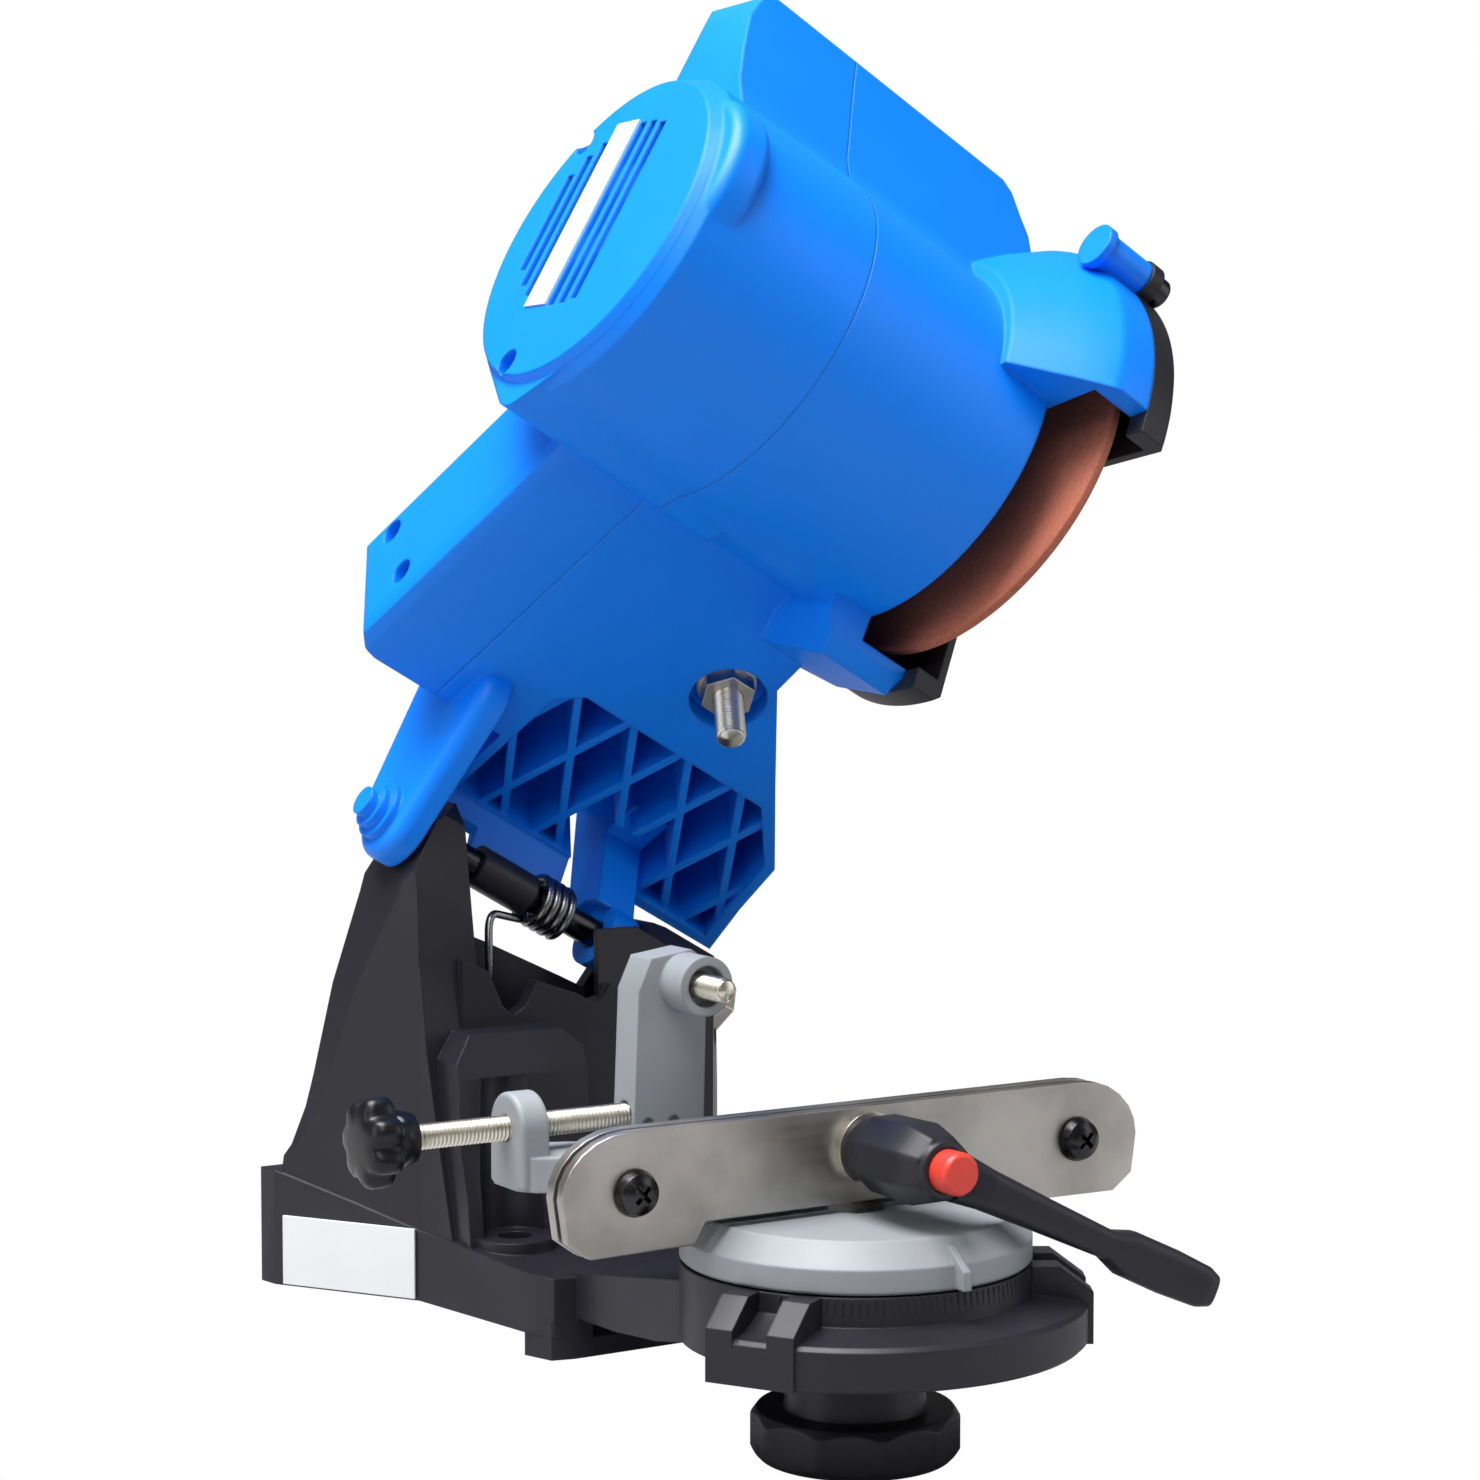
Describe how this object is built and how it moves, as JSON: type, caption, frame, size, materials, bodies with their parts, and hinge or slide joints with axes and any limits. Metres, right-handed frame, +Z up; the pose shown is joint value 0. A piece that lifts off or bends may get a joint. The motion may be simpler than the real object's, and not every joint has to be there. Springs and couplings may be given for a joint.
{
  "type": "electric chainsaw chain sharpener",
  "caption": "Bench-mounted electric grinder for chainsaw chain: tilted swinging motor head with a guarded disc above a swivelling chain vise.",
  "frame": {"origin": "on the bench top, midway between the two bench bolts", "axes": "+Z up, -Y towards the operator and the chain vise, +X to the operator's right"},
  "size_m": [0.2333, 0.239, 0.3513],
  "materials": {
    "black_plastic": "satin black moulded plastic",
    "blue_housing": "glossy blue moulded plastic",
    "cover_black": "satin black",
    "cast_grey": "silver-grey paint on an aluminium casting",
    "steel": "zinc-plated steel",
    "plate_steel": "stamped steel, faint grain",
    "dark_steel": "black-oxide steel",
    "spring_steel": "dark oiled spring wire",
    "abrasive": "matt red-brown abrasive grit",
    "red_plastic": "glossy red",
    "label": "bare silver-white foil",
    "core_steel": "laminated electrical steel",
    "copper": "enamelled copper wire",
    "brass": "brass",
    "carbon": "carbon brush",
    "board": "phenolic board",
    "white_plastic": "white plastic",
    "rubber": "matt rubber"
  },
  "bodies": {
    "base": {"base_casting": "black_plastic", "name_plate": "label", "pivot_axle": "dark_steel", "axle_nut": "steel", "axle_sleeve": "black_plastic", "torsion_spring": "spring_steel"},
    "head": {"left_shell": "blue_housing", "right_housing": "blue_housing", "guard_cover": "cover_black", "guard_bolt": "dark_steel", "guard_side_screw": "steel", "shell_screws": "dark_steel", "cap_strip": "label", "stator": "core_steel", "field_coils": "copper", "front_bearing": "steel", "rear_bearing": "steel", "brush_holders": "brass", "carbon_brushes": "carbon", "brush_plate": "board", "switch_body": "black_plastic", "terminal_block": "white_plastic", "suppressor": "white_plastic", "cord_grommet": "rubber", "depth_stop_nut": "steel"},
    "spindle": {"motor_shaft": "steel", "rotor": "core_steel", "commutator": "copper", "cooling_fan": "white_plastic", "inner_flange": "steel", "grinding_disc": "abrasive", "outer_flange": "steel", "shaft_nut": "steel"},
    "rocker": {"switch_rocker": "red_plastic"},
    "depth_stud": {"depth_stop_stud": "steel"},
    "depth_knob": {"depth_stop_knob": "black_plastic"},
    "vise": {"swivel_vise": "cast_grey", "rear_guide_plate": "plate_steel", "guide_screws": "dark_steel", "pivot_bolt": "steel", "clamp_stud": "steel"},
    "front_jaw": {"front_guide_plate": "plate_steel", "clamp_washer": "steel"},
    "lever": {"clamp_lever": "black_plastic", "lever_insert": "steel", "button_spring": "spring_steel"},
    "button": {"lever_button": "red_plastic"},
    "lock_washer": {"table_washer": "steel"},
    "lock_knob": {"lock_knob": "black_plastic", "lock_knob_insert": "brass"},
    "stop": {"stop_carrier": "cast_grey", "stop_pin": "steel"},
    "stop_screw": {"adjusting_screw": "steel", "star_knob": "black_plastic"}
  },
  "joints": [
    {"name": "head_hinge", "type": "hinge", "parent": "base", "child": "head", "pos_m": [0, 0.034, 0.1], "axis": [0.866, 0, -0.5], "range_deg": [0, 49], "stiffness_Nm_per_rad": 2.2, "springref_deg": -48.7, "deforming": ["torsion_spring"]},
    {"name": "spindle_spin", "type": "hinge", "parent": "head", "child": "spindle", "pos_m": [0.07125, -0.0445, 0.22341], "axis": [0.866, 0, -0.5], "continuous": true},
    {"name": "switch_rocker_tilt", "type": "hinge", "parent": "head", "child": "rocker", "pos_m": [0.08652, -0.005, 0.30986], "axis": [0, 1, 0], "range_deg": [-16, 0]},
    {"name": "depth_stop_travel", "type": "slide", "parent": "head", "child": "depth_stud", "axis": [0.3591, 0.6959, 0.6219], "range_m": [-0.006, 0.004]},
    {"name": "depth_knob_turn", "type": "hinge", "parent": "depth_stud", "child": "depth_knob", "pos_m": [0.03652, 0.00066, 0.16446], "axis": [0.3591, 0.6959, 0.6219], "range_deg": [-1814.4, 1238.4]},
    {"name": "vise_swivel", "type": "hinge", "parent": "base", "child": "vise", "pos_m": [0, -0.117, 0.033], "axis": [0, 0, 1], "range_deg": [-30, 30]},
    {"name": "front_jaw_travel", "type": "slide", "parent": "vise", "child": "front_jaw", "axis": [0, -1, 0], "range_m": [0, 0.00025]},
    {"name": "clamp_lever_turn", "type": "hinge", "parent": "front_jaw", "child": "lever", "pos_m": [0, -0.127, 0.0593], "axis": [0, -1, 0], "range_deg": [0, 72]},
    {"name": "lever_button_press", "type": "slide", "parent": "lever", "child": "button", "axis": [0, 1, 0], "range_m": [0, 0.0025], "stiffness_N_per_m": 400, "springref_m": -0.001, "deforming": ["button_spring"]},
    {"name": "lock_washer_travel", "type": "slide", "parent": "vise", "child": "lock_washer", "axis": [0, 0, 1], "range_m": [-0.001, 0.0003]},
    {"name": "lock_knob_turn", "type": "hinge", "parent": "lock_washer", "child": "lock_knob", "pos_m": [0, -0.117, 0], "axis": [0, 0, 1], "range_deg": [-302.4, 100.8]},
    {"name": "stop_travel", "type": "slide", "parent": "vise", "child": "stop", "axis": [1, 0, 0], "range_m": [-0.004, 0.003]},
    {"name": "star_knob_turn", "type": "hinge", "parent": "stop", "child": "stop_screw", "pos_m": [-0.06, -0.08, 0.0644], "axis": [1, 0, 0], "range_deg": [-1512, 1152]}
  ],
  "couplings": [
    {"joint": "depth_knob_turn", "follows": "depth_stop_travel", "rad_per_m": 5026.5},
    {"joint": "lock_knob_turn", "follows": "lock_washer_travel", "rad_per_m": 5026.5},
    {"joint": "star_knob_turn", "follows": "stop_travel", "rad_per_m": 6283.2}
  ]
}
